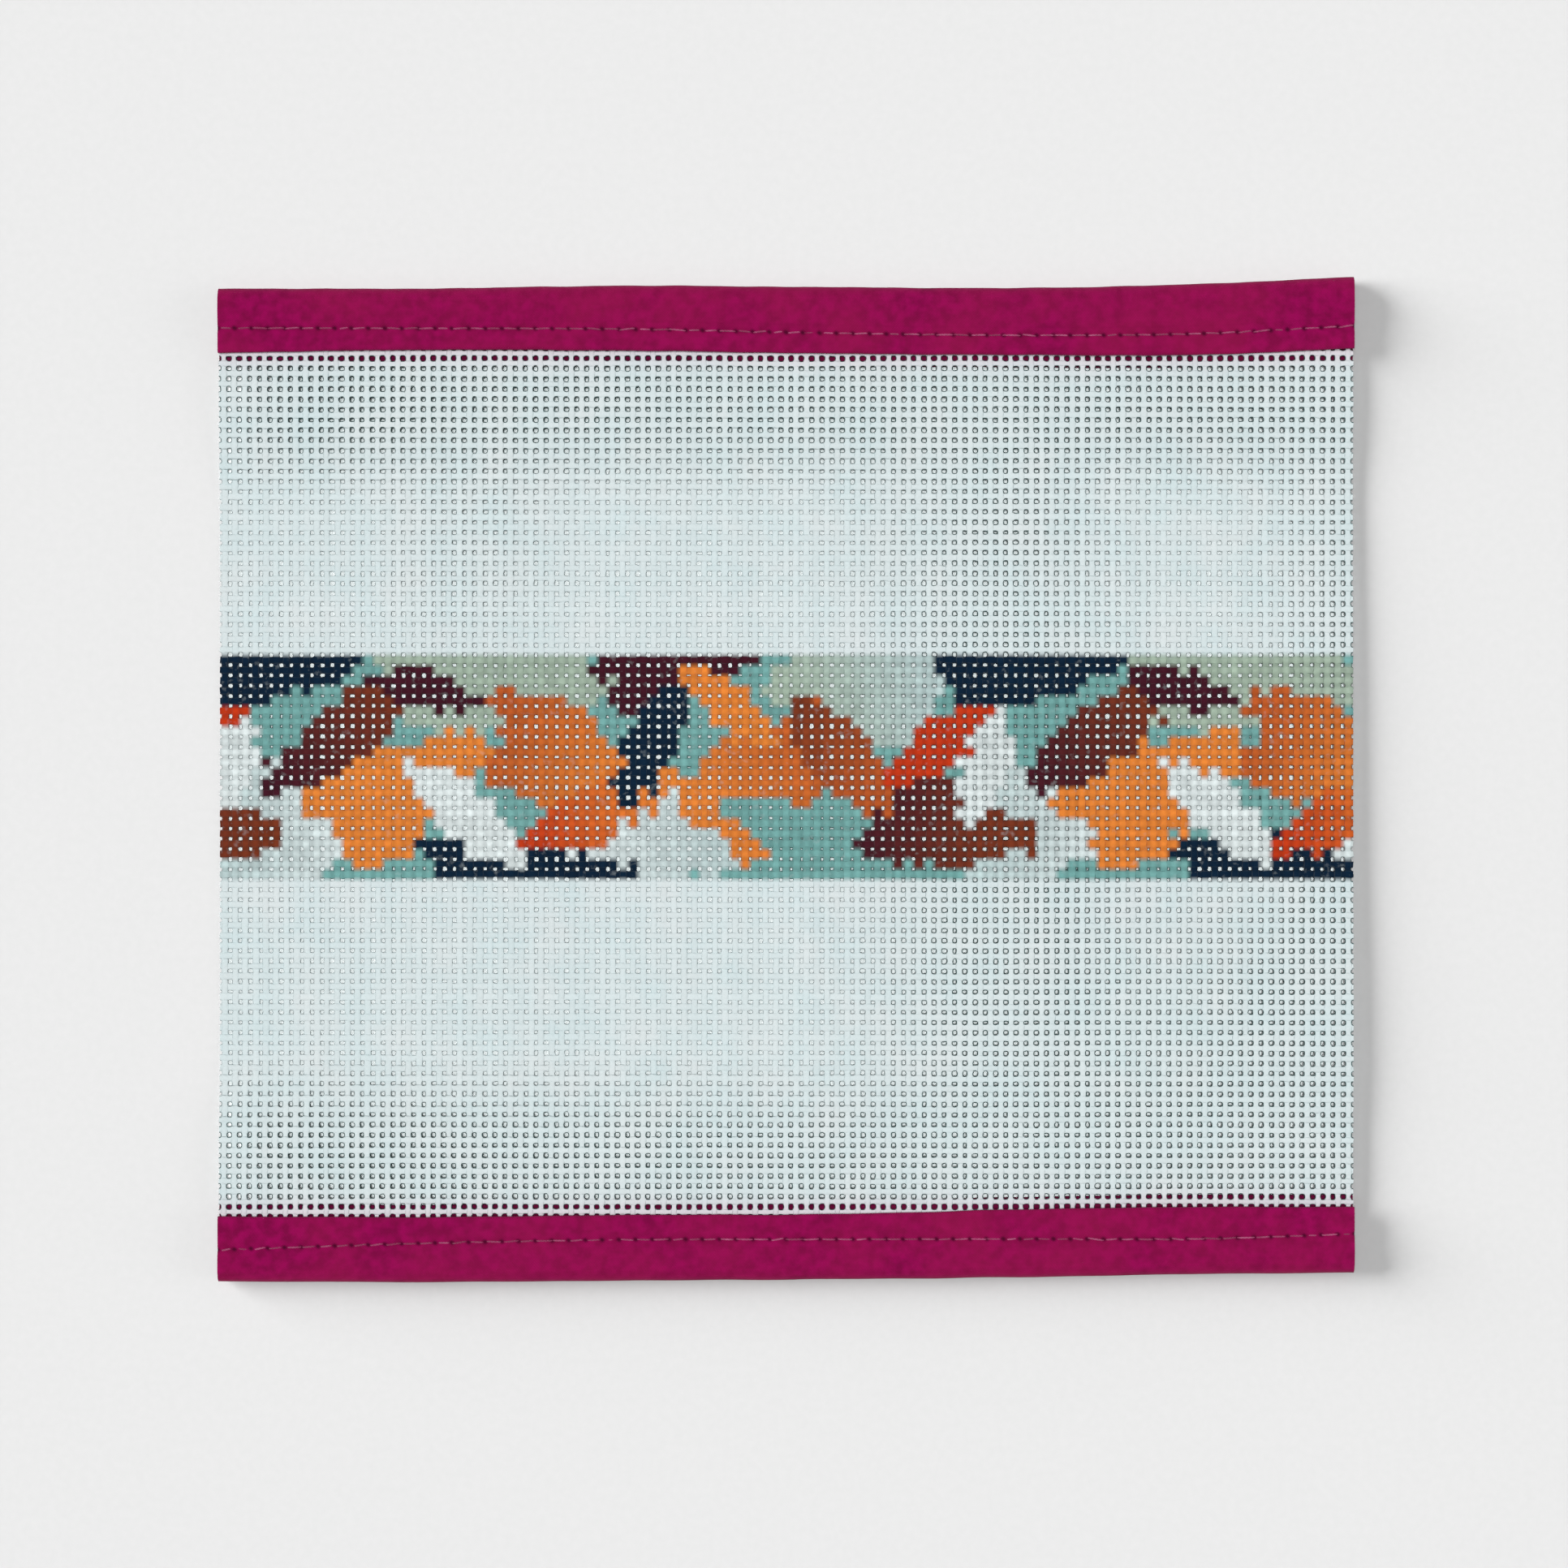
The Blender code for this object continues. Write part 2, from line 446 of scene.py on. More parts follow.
def scaled(tree, colour, factor):
    """A colour made lighter or darker by a factor."""
    grey = node(tree, "ShaderNodeCombineColor", Red=factor, Green=factor, Blue=factor)
    return mixed(tree, 1.0, colour, grey.outputs[0], "MULTIPLY")


def bump(tree, height, distance, strength=1.0, **under):
    made = node(tree, "ShaderNodeBump", Height=height, Distance=distance, Strength=strength, **under)
    return made.outputs["Normal"]


def map_places(tree, name):
    """The two numbers of a map. The thread map has millimetres along each thread and turns round it."""
    uv = node(tree, "ShaderNodeUVMap", uv_map=name)
    split = node(tree, "ShaderNodeSeparateXYZ", Vector=uv.outputs["UV"])
    return split.outputs["X"], split.outputs["Y"]


def wave(tree, value, turn):
    """A cosine of value, which has gone once round after a turn."""
    return arithmetic(tree, "COSINE", times(tree, value, 2 * math.pi / turn))


def ply_twist(tree, turns, length):
    """Height of the slanting ridges of a plied thread, from how far along and round it each point is."""
    along, around = map_places(tree, "thread")
    along = times(tree, along, 2 * math.pi / length)
    around = times(tree, around, 2 * math.pi * turns)
    return arithmetic(tree, "SINE", arithmetic(tree, "ADD", along, around))


def hole_walls(tree):
    """1 on the sides of a thread where they stand round a hole, and 0 on top and at its crossings: where the
    painted shade goes.
    """
    along, around = map_places(tree, "thread")
    beside_hole = mapped(tree, wave(tree, along, PITCH / MM), *WALL_ALONG, 0.0, 1.0)
    at_side = mapped(tree, wave(tree, around, 0.5), *WALL_AROUND, 0.0, 1.0)
    return times(tree, beside_hole, at_side)


def plain_cotton(tree, places):
    """Sized cotton, a little warmer in blotches, with a painted reflection of the magenta binding beside it.
    """
    blotches = noise(tree, places, 160.0, 3.0)
    cotton = mixed(tree, mapped(tree, blotches, *NOISE_RANGE, 0.0, 1.0), CANVAS_COOL, CANVAS_WARM)
    return mixed(tree, mapped(tree, number(tree, "bound"), 0.0, 1.0, 0.0, 0.4), cotton, CANVAS_MAGENTA_REFLECTION)


def painted(tree, cotton, places):
    """The cotton with its paint where soaked says, with a painted highlight on crossings and painted shade
    round the holes.
    """
    brushed = noise(tree, places, 900.0, 4.0)
    paint = node(tree, "ShaderNodeAttribute", attribute_name="paint").outputs["Color"]
    along, _ = map_places(tree, "thread")
    # Painted highlight on the crossings and painted shade beside the holes.
    highlight_and_shade = mapped(tree, wave(tree, along, PITCH / MM), -1.0, 1.0, PAINT_HIGHLIGHT_ON_CROSSING, PAINT_SHADE_BESIDE_HOLE)
    streaks = mapped(tree, brushed, *NOISE_RANGE, 0.92, 1.08)
    paint = scaled(tree, paint, times(tree, highlight_and_shade, streaks))
    covered = mapped(tree, brushed, 0.2, 0.4, 0.8, 1.0)
    return mixed(tree, times(tree, number(tree, "soaked"), covered), cotton, paint)


def shaded_walls(tree, colour):
    """The colour with painted shade on the hole walls: most where the canvas is lifted, and less where it is
    painted.
    """
    shade = mapped(tree, number(tree, "lifted"), WALL_SHADE_FROM, WALL_SHADE_REACH, 0.0, 1.0)
    walls = times(tree, hole_walls(tree), shade)
    weaker_where_painted = mapped(tree, number(tree, "soaked"), 0.0, 1.0, 1.0, WALL_SHADE_PAINTED)
    walls = times(tree, walls, weaker_where_painted)
    # Painted shade: the hole walls are mixed towards a dark tint.
    return mixed(tree, walls, colour, mixed(tree, 1.0, colour, WALL_SHADE_TINT, "MULTIPLY"))


def canvas_material():
    """Sized cotton threads with their paint, their twist and painted shade on the walls of their holes."""
    made, tree, places = new_material("sized_canvas_threads")
    fibres = noise(tree, places, 5200.0, 3.0)
    colour = painted(tree, plain_cotton(tree, places), places)
    tone = mapped(tree, number(tree, "tone"), -1.0, 1.0, 0.965, 1.02)
    tone = times(tree, tone, mapped(tree, fibres, *NOISE_RANGE, 0.95, 1.03))
    colour = shaded_walls(tree, scaled(tree, colour, tone))
    roughness = mapped(tree, fibres, *NOISE_RANGE, 0.72, 0.9)
    twisted = bump(tree, ply_twist(tree, 2, 1.1), 0.02 * MM)
    normal = bump(tree, fibres, 0.03 * MM, 0.6, Normal=twisted)
    finish_shader(tree, Base_Color=colour, Roughness=roughness, Specular_IOR_Level=0.15, Normal=normal)
    return made


def tape_weave(tree):
    """Height of the tape's fine plain weave."""
    along, across = map_places(tree, "cloth")
    turn = 2 * math.pi / TAPE_WEAVE
    warps = arithmetic(tree, "SINE", times(tree, along, turn))
    wefts = arithmetic(tree, "SINE", times(tree, across, turn))
    return times(tree, warps, wefts)


def binding_material():
    """Smooth magenta cotton: a fine weave, faint blotches, rubbed wear, and painted shade in the weave's
    hollows, the fold and the needle holes.
    """
    made, tree, places = new_material("magenta_binding_cotton")
    weave = tape_weave(tree)
    blotches = noise(tree, places, 620.0, 3.0)
    cloudy = noise(tree, places, 90.0, 3.0)
    fibres = noise(tree, places, 7000.0, 2.0)
    bright = mapped(tree, blotches, *NARROW_NOISE_RANGE, 0.0, 1.0)
    colour = mixed(tree, bright, BINDING_DEEP, BINDING_BRIGHT)
    colour = mixed(tree, mapped(tree, cloudy, *NARROW_NOISE_RANGE, 0.0, 0.5), colour, BINDING_RED)
    # Painted shade: the low parts of the tape's weave are a little darker.
    colour = mixed(tree, mapped(tree, weave, -1.0, 1.0, 0.12, 0.0), colour, BINDING_PAINTED_SHADE)
    rubbed = times(tree, number(tree, "rubbed"), mapped(tree, blotches, 0.3, 0.6, 0.3, 1.0))
    colour = mixed(tree, rubbed, colour, BINDING_RUBBED)
    # Painted shade on the back leg's inner parts, deep in the fold under the canvas.
    colour = mixed(tree, mapped(tree, number(tree, "shade_in_fold"), 0.0, 1.0, 0.0, 0.75), colour, BINDING_PAINTED_SHADE)
    # Painted shade in the needle holes.
    colour = mixed(tree, mapped(tree, number(tree, "pierced"), 0.1, 0.7, 0.0, 0.9), colour, NEEDLE_HOLE_PAINTED_SHADE)
    roughness = mapped(tree, fibres, *NOISE_RANGE, 0.72, 0.88)
    normal = bump(tree, fibres, 0.03 * MM, 0.5, Normal=bump(tree, weave, 0.02 * MM))
    finish_shader(tree, Base_Color=colour, Roughness=roughness, Specular_IOR_Level=0.1, Normal=normal)
    finish_shader(tree, Sheen_Weight=0.03)
    return made


def sewing_material():
    """Rose sewing thread with a slight gloss, a visible twist and painted shade in the twist's grooves."""
    made, tree, places = new_material("rose_sewing_thread")
    twist = ply_twist(tree, 2, 0.5)
    worn = mapped(tree, noise(tree, places, 900.0, 2.0), *NARROW_NOISE_RANGE, 0.3, 1.0)
    light = times(tree, number(tree, "tone"), worn)
    colour = mixed(tree, light, SEWING_DEEP, SEWING_LIGHT)
    # Painted shade: the grooves between the plies are darker.
    colour = mixed(tree, mapped(tree, twist, -1.0, 0.2, 0.35, 0.0), colour, BINDING_DEEP)
    normal = bump(tree, twist, 0.03 * MM)
    finish_shader(tree, Base_Color=colour, Roughness=0.55, Sheen_Weight=0.3, Normal=normal)
    return made


def floor_material():
    """Pale matte paper with a very faint grain."""
    made, tree, places = new_material("pale_surface")
    grain = noise(tree, places, 900.0, 2.0)
    colour = mixed(tree, mapped(tree, grain, *NOISE_RANGE, 0.0, 1.0), FLOOR_LOW, FLOOR_HIGH)
    finish_shader(tree, Base_Color=colour, Roughness=0.95, Specular_IOR_Level=0.1)
    return made


# The paints of the band, each with how much wider it leaves a thread beside its holes, as a share.
PAINT_COLUMNS = ("colour", "build_up")
PAINTS = {
    "teal": (srgb(120, 176, 172), 0.34),
    "sage": (srgb(168, 188, 170), 0.06),
    "pale_grey": (srgb(190, 212, 212), 0.02),
    "white": (srgb(230, 240, 240), 0.0),
    "orange": (srgb(236, 136, 54), 0.18),
    "red_orange": (srgb(202, 56, 16), 0.07),
    "rust": (srgb(196, 92, 38), 0.1),
    "brown": (srgb(126, 54, 28), 0.02),
    "maroon": (srgb(68, 16, 34), 0.0),
    "navy": (srgb(0, 32, 56), 0.0),
}
BAND_REPEAT = 74
BAND_GROUND = "teal"
# Rounded patches and pointed leaves, in threads from the band's lower left corner, later rows on top.
# A motif shades from its first paint to its second one along its length.
MOTIF_COLUMNS = ("form", "paint", "into", "x", "y", "half_length", "half_width", "tilt")
MOTIFS = (
    ("patch", "pale_grey", "white", 7.0, 6.0, 11.0, 5.5, 8.0),
    ("patch", "sage", "sage", 26.0, 19.5, 11.0, 5.0, -6.0),
    ("patch", "white", "pale_grey", 43.0, 5.0, 11.0, 5.0, -10.0),
    ("patch", "sage", "pale_grey", 63.0, 18.5, 9.0, 6.0, 12.0),
    ("patch", "orange", "orange", 17.0, 8.5, 9.0, 5.5, 22.0),
    ("patch", "rust", "orange", 34.0, 12.0, 9.0, 5.0, -28.0),
    ("patch", "orange", "rust", 53.0, 9.5, 8.5, 5.5, 38.0),
    ("patch", "maroon", "brown", 70.0, 5.5, 8.5, 4.5, -14.0),
    ("patch", "navy", "navy", 5.0, 20.5, 9.0, 3.0, 6.0),
    ("patch", "navy", "navy", 29.0, 1.0, 9.5, 3.0, -5.0),
    ("patch", "maroon", "maroon", 44.5, 20.5, 8.0, 3.4, 8.0),
    ("leaf", "maroon", "brown", 12.0, 14.0, 9.5, 3.2, 36.0),
    ("leaf", "white", "white", 24.0, 6.5, 8.0, 2.6, -42.0),
    ("leaf", "red_orange", "orange", 37.0, 6.5, 9.0, 3.0, 24.0),
    ("leaf", "navy", "navy", 42.0, 13.0, 7.5, 2.6, 64.0),
    ("leaf", "teal", "teal", 56.0, 4.5, 8.0, 2.4, -26.0),
    ("leaf", "brown", "rust", 61.0, 12.0, 8.5, 3.0, -50.0),
    ("leaf", "red_orange", "red_orange", 71.0, 13.5, 7.0, 2.6, 32.0),
    ("leaf", "white", "white", 1.0, 11.0, 6.5, 2.2, 72.0),
    ("leaf", "maroon", "maroon", 20.5, 18.5, 6.5, 2.0, -14.0),
    ("leaf", "orange", "orange", 50.0, 17.0, 6.5, 2.2, -40.0),
)
# Painted by hand, so an outline strays by part of a thread and no two crossings hold quite the same paint.
OUTLINE_STRAY = 0.3
PAINT_UNEVENNESS = 0.045
PAINT_DRIFT = 0.025


def in_leaf(u, v):
    """Inside a leaf that tapers to a point at both ends."""
    return np.abs(v) < 1 - u**2


def in_patch(u, v):
    """Inside a rounded patch with a lobed outline."""
    angle = np.arctan2(v, u)
    lobes = 1 + 0.16 * np.sin(3 * angle + 1.0) + 0.1 * np.sin(5 * angle)
    return u**2 + v**2 < lobes**2


FORMS = {"leaf": in_leaf, "patch": in_patch}


def paint_value(name, column):
    return np.array(PAINTS[name][PAINT_COLUMNS.index(column)])


def motif_places(motif, row, column):
    """How far each crossing is along and across a motif, from its middle, in half lengths and half widths."""
    across = (column - motif["x"] + BAND_REPEAT / 2) % BAND_REPEAT - BAND_REPEAT / 2
    up = row - motif["y"]
    tilt = math.radians(motif["tilt"])
    u = (across * math.cos(tilt) + up * math.sin(tilt)) / motif["half_length"]
    v = (up * math.cos(tilt) - across * math.sin(tilt)) / motif["half_width"]
    return u, v


def paint_band(random):
    """The paint of each crossing of the band, as (rows, warps, 3), and its build-up."""
    row, column = np.mgrid[0:BAND_ROWS, 0:WARP_THREADS] + 0.5
    row = row + OUTLINE_STRAY * random.standard_normal(row.shape)
    column = column + OUTLINE_STRAY * random.standard_normal(row.shape)
    colours = np.empty((BAND_ROWS, WARP_THREADS, 3))
    colours[:] = paint_value(BAND_GROUND, "colour")
    build_up = np.full((BAND_ROWS, WARP_THREADS), float(paint_value(BAND_GROUND, "build_up")))
    for values in MOTIFS:
        motif = dict(zip(MOTIF_COLUMNS, values))
        u, v = motif_places(motif, row, column)
        inside = FORMS[motif["form"]](u, v)
        share = smooth_step((u[inside] + 1) / 2)[:, None]
        near = paint_value(motif["paint"], "colour")
        far = paint_value(motif["into"], "colour")
        colours[inside] = near * (1 - share) + far * share
        build_up[inside] = paint_value(motif["paint"], "build_up")
    patchy = soft_noise(random, np.arange(WARP_THREADS), BAND_ROWS, waves=3, longest=40.0, shortest=6.0)
    uneven = 1 + PAINT_UNEVENNESS * random.standard_normal(row.shape) + PAINT_DRIFT * patchy
    return colours * uneven[:, :, None], build_up


def band_paint(random):
    """For every crossing, as (wefts, warps): its paint, 1 where it is painted, and the paint's build-up."""
    colours, thick = paint_band(random)
    band = slice(ROWS_BELOW_BAND, ROWS_BELOW_BAND + BAND_ROWS)
    paint = np.zeros((WEFT_THREADS, WARP_THREADS, 3))
    painted = np.zeros((WEFT_THREADS, WARP_THREADS))
    build_up = np.zeros((WEFT_THREADS, WARP_THREADS))
    paint[band] = colours
    painted[band] = 1.0
    build_up[band] = thick
    # A thread beside the band holds its neighbour's paint colour, so that none fades to black at the edge.
    paint[band.start - 1] = colours[0]
    paint[band.stop] = colours[-1]
    return {"paint": paint, "painted": painted, "build_up": build_up}


def thread_steps(crossed):
    """Places along a thread, counted in threads crossed: a whole number is the middle of a hole."""
    places = np.arange(crossed)[:, None] + np.array(STEPS_IN_PITCH)
    return np.append(places.ravel(), float(crossed))


def in_hole(steps):
    """True for each step in the middle of a hole."""
    return steps % 1 == 0


def thread_widths(random, threads, steps):
    """Full widths, wide at crossings and narrow in the holes, each thread and place a little different."""
    widths = np.where(in_hole(steps), THREAD_WIDTH_IN_HOLE, THREAD_WIDTH)[None, :]
    per_thread = 1 + THREAD_UNEVENNESS * random.standard_normal((threads, 1))
    per_place = 1 + PLACE_UNEVENNESS * random.standard_normal((threads, len(steps)))
    return widths * per_thread * per_place


def near_binding(x, y):
    """1 at a binding's inner edge, falling to 0 within a few threads of it."""
    top = np.exp(-(np.abs(edge_y("top_inner", x) - y) / PULLED_REACH) ** 2)
    bottom = np.exp(-(np.abs(y - edge_y("bottom_inner", x)) / PULLED_REACH) ** 2)
    return top + bottom


def along_threads(values, is_warp, steps):
    """Values of the crossings, given as (wefts, warps), at each step of each warp or weft."""
    if is_warp:
        values = np.swapaxes(values, 0, 1)
    after = np.minimum(steps.astype(int), values.shape[1] - 1)
    before = np.maximum(np.ceil(steps).astype(int) - 1, 0)
    return (values[:, before] + values[:, after]) / 2


def over_and_under(random, is_warp, count, steps):
    """1 where a thread is on top of the one it crosses and -1 where it is below, each a little uneven."""
    first_is_over = 1 if is_warp else -1
    alternate = first_is_over * np.where(np.arange(count) % 2 == 0, 1, -1)
    over = alternate[:, None] * np.cos(math.pi * (steps - 0.5))[None, :]
    return over * (1 + CRIMP_UNEVENNESS * random.standard_normal(over.shape))


def woven_threads(random, is_warp, band):
    """Every warp or weft: a dictionary of arrays whose first two axes are the thread and the step along it.

    band is what band_paint gives for every crossing.
    """
    count, crossed = (WARP_THREADS, WEFT_THREADS) if is_warp else (WEFT_THREADS, WARP_THREADS)
    steps = thread_steps(crossed)
    wander = THREAD_WANDER * soft_noise(random, steps, count, waves=3, longest=90.0, shortest=12.0)
    wander += PLACE_WANDER * random.standard_normal((count, len(steps)))
    across = (np.arange(count)[:, None] + 0.5 + wander) * PITCH
    along = np.broadcast_to(steps * PITCH, across.shape)
    x = CANVAS_LEFT + (across if is_warp else along)
    y = CANVAS_BOTTOM + (along if is_warp else across)
    lift = canvas_underside(x, y)
    bound = near_binding(x, y)
    z = lift + WOVEN_HEIGHT / 2 + CRIMP * over_and_under(random, is_warp, count, steps)
    band = {name: along_threads(values, is_warp, steps) for name, values in band.items()}
    widths = thread_widths(random, count, steps) * (1 - PULLED_NARROWER * bound)
    widths = widths * (1 + in_hole(steps) * band["build_up"])
    heights = np.full(widths.shape, THREAD_HEIGHT)
    rings = oval_rings(np.stack([x, y, z], axis=-1), widths, heights, THREAD_SIDES)
    rings[..., 2] = np.maximum(rings[..., 2], 0.0)

    tone = np.broadcast_to(random.uniform(-1, 1, (count, 1)), across.shape)
    return {
        "rings": rings,
        "along": along / MM,
        "tone": tone,
        "paint": band["paint"],
        "soaked": band["painted"],
        "lifted": np.clip(lift / CANVAS_LIFT, 0.0, 1.0),
        "bound": bound,
    }


def cut_threads(threads, which, steps):
    """The chosen threads, between the chosen steps."""
    return {name: values[which, steps] for name, values in threads.items()}


def around_thread(on_top, at_side, below):
    """One value for each point round a thread, from what it is on top, at the sides and below."""
    rise = np.sin(2 * math.pi * np.arange(THREAD_SIDES) / THREAD_SIDES)
    return np.where(rise > 0.1, on_top, np.where(rise < -0.1, below, at_side))


def lane_places(along, sides, lanes, first_lane, per_lane):
    """Where tubes go on the bake map: side by side in lanes, each with its two caps beside its ends.

    along is (threads, steps). The result has a row for each corner, tubes first and then caps.
    """
    threads = len(along)
    place = first_lane + np.arange(threads) // per_lane
    left = (np.arange(threads) % per_lane) / per_lane
    share = (along - along[:, :1]) / (along[:, -1:] - along[:, :1])
    u, v = tube_places(share, sides)
    per_thread = len(u) // threads
    u = (np.repeat(left, per_thread) * per_lane + LANE_MARGIN + (1 - 2 * LANE_MARGIN) * u) / per_lane
    v = (np.repeat(place, per_thread) + LANE_GAP + (1 - 2 * LANE_GAP) * v) / lanes
    turn = 2 * math.pi * np.arange(sides) / sides
    caps = []
    for centre in (LANE_MARGIN / 2, 1 - LANE_MARGIN / 2):
        cap_u = (left[:, None] * per_lane + centre + 0.3 * LANE_MARGIN * np.cos(turn)) / per_lane
        cap_v = (place[:, None] + 0.5 + 0.3 * np.sin(turn)) / lanes
        caps.append(np.stack([cap_u, cap_v], axis=-1).reshape(-1, 2))
    return np.stack([u, v], axis=1), np.concatenate(caps)


def add_thread_maps(mesh, sets, sides):
    """The pattern map, in millimetres along and turns round each thread, and the bake map.

    sets is a list of (along, per_lane), in the order of the mesh's tubes.
    """
    lanes = sum(math.ceil(len(along) / per_lane) for along, per_lane in sets)
    first_lane = 0
    pattern = []
    tubes = []
    caps = []
    for along, per_lane in sets:
        pattern.append(np.stack(tube_places(along, sides), axis=1))
        tube, cap = lane_places(along, sides, lanes, first_lane, per_lane)
        tubes.append(tube)
        caps.append(cap)
        first_lane += math.ceil(len(along) / per_lane)
    cap_corners = sum(len(cap) for cap in caps)
    add_uv(mesh, "thread", np.concatenate(pattern + [np.zeros((cap_corners, 2))]))
    add_uv(mesh, BAKE_MAP, spread(np.concatenate(tubes + caps)))


def weave_mesh(name, sets):
    """One mesh of all the threads of the sets, with a cap on each of their ends."""
    points = []
    quads = []
    caps = []
    start = 0
    for threads in sets:
        count, stations, sides, _ = threads["rings"].shape
        tube, ends = tube_faces(count, stations, sides, start)
        points.append(threads["rings"].reshape(-1, 3))
        quads.append(tube)
        caps.append(ends)
        start += count * stations * sides
    return make_mesh(name, np.concatenate(points), np.concatenate(quads), np.concatenate(caps))


def add_weave_values(mesh, sets):
    """What the canvas material reads at each point of the threads."""
    profiles = dict.fromkeys(("tone", "lifted", "bound"), np.ones(THREAD_SIDES))
    profiles["soaked"] = around_thread(*SOAKED_AROUND)
    for name, profile in profiles.items():
        values = [(threads[name][:, :, None] * profile).ravel() for threads in sets]
        add_numbers(mesh, name, np.concatenate(values))
    paint = [np.repeat(threads["paint"], THREAD_SIDES, axis=1).reshape(-1, 3) for threads in sets]
    add_colours(mesh, "paint", np.concatenate(paint))


def make_canvas_piece(name, first, last, warps, wefts, finish):
    """The rows of weave from first to last as one piece: a part of every warp, and whole wefts."""
    some_of_each_warp = slice(STEPS_PER_CROSSING * first, STEPS_PER_CROSSING * last + 1)
    sets = (
        cut_threads(warps, slice(None), some_of_each_warp),
        cut_threads(wefts, slice(first, last), slice(None)),
    )
    mesh = weave_mesh(name, sets)
    add_thread_maps(mesh, ((sets[0]["along"], WARPS_PER_LANE), (sets[1]["along"], 1)), THREAD_SIDES)
    add_weave_values(mesh, sets)
    piece = add_object(name, mesh, finish)
    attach(piece, "root")
    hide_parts("canvas")


def needle_holes(x, from_seam):
    """1 at each needle hole, falling to 0 round it."""
    from_hole = ((x / STITCH + 0.5) % 1.0 - 0.5) * STITCH
    return np.exp(-((from_seam / NEEDLE_REACH) ** 2) - (from_hole / NEEDLE_REACH) ** 2)


def seam_relief(x, inwards, seam):
    """How far the tape is drawn in by the seam: a trough, a dimple at each needle hole and small puckers."""
    from_seam = inwards - seam
    trough = TROUGH_DEPTH * np.exp(-((from_seam / TROUGH_REACH) ** 2))
    dimple = DIMPLE_DEPTH * needle_holes(x, from_seam)
    pucker = PUCKER_HEIGHT * np.sin(2 * math.pi * x / (2 * STITCH) + PUCKER_SLANT * from_seam)
    return trough + dimple + pucker * np.exp(-((from_seam / PUCKER_REACH) ** 2))


def arc(centre_inwards, centre_z, reach, rise, start, end, steps):
    """Points on an oval arc, from and to angles in degrees: 0 points inwards and 90 points up."""
    turn = np.radians(np.linspace(start, end, steps))
    return [(centre_inwards + reach * np.cos(a), centre_z + rise * np.sin(a)) for a in turn]


def tape_section(width, seam):
    """The middle line of the tape, for every x at once, from its front turned-under edge to its back one.

    width and seam are distances inwards from the outer edge. Each point is (inwards, height, side), where
    side is 1 on the front leg, -1 on the back leg and 0 elsewhere.
    """
    half = TAPE_THICKNESS / 2
    front_turn = (FRONT_LAYER - FRONT_UNDER_LAYER) / 2
    back_turn = (BACK_UNDER_LAYER - BACK_LAYER) / 2
    fold_at = half + OUTER_FOLD_REACH
    front_end = width - half - front_turn
    back_end = width + BACK_EXTRA - half - back_turn

    def level(start, end, steps, height, side):
        return [(start + (end - start) * t, height, side) for t in np.linspace(0, 1, steps)]

    def turned(points):
        return [(inwards, height + 0 * width, 0) for inwards, height in points]

    front_middle = (FRONT_LAYER + FRONT_UNDER_LAYER) / 2
    back_middle = (BACK_LAYER + BACK_UNDER_LAYER) / 2
    fold_middle = (FRONT_LAYER + BACK_LAYER) / 2
    fold_rise = (FRONT_LAYER - BACK_LAYER) / 2
    section = level(width - TURNED_UNDER, front_end - SHORT_OF_FOLD, 4, FRONT_UNDER_LAYER, 0)
    section += turned(arc(front_end, front_middle, front_turn, front_turn, -90, 90, 6))
    section += level(front_end - SHORT_OF_EDGE, seam + NEAR_SEAM, 5, FRONT_LAYER, 1)
    section += level(seam + NEAR_SEAM, seam - NEAR_SEAM, 11, FRONT_LAYER, 1)[1:]
    section += level(seam - NEAR_SEAM, fold_at + SHORT_OF_FOLD, 7, FRONT_LAYER, 1)[1:]
    section += turned(arc(fold_at, fold_middle, OUTER_FOLD_REACH, fold_rise, 90, 270, 11))
    section += level(fold_at + SHORT_OF_FOLD, seam - NEAR_SEAM, 5, BACK_LAYER, -1)
    section += level(seam - NEAR_SEAM, seam + NEAR_SEAM, 9, BACK_LAYER, -1)[1:]
    section += level(seam + NEAR_SEAM, back_end - SHORT_OF_EDGE, 5, BACK_LAYER, -1)[1:]
    section += turned(arc(back_end, back_middle, back_turn, back_turn, -90, 90, 6))
    section += level(back_end - SHORT_OF_FOLD, width + BACK_EXTRA - TURNED_UNDER, 4, BACK_UNDER_LAYER, 0)
    return section


def end_strips(around):
    """The strips of faces that close an end of the tape, numbered across its section."""
    return np.arange(around // 2 - 1)


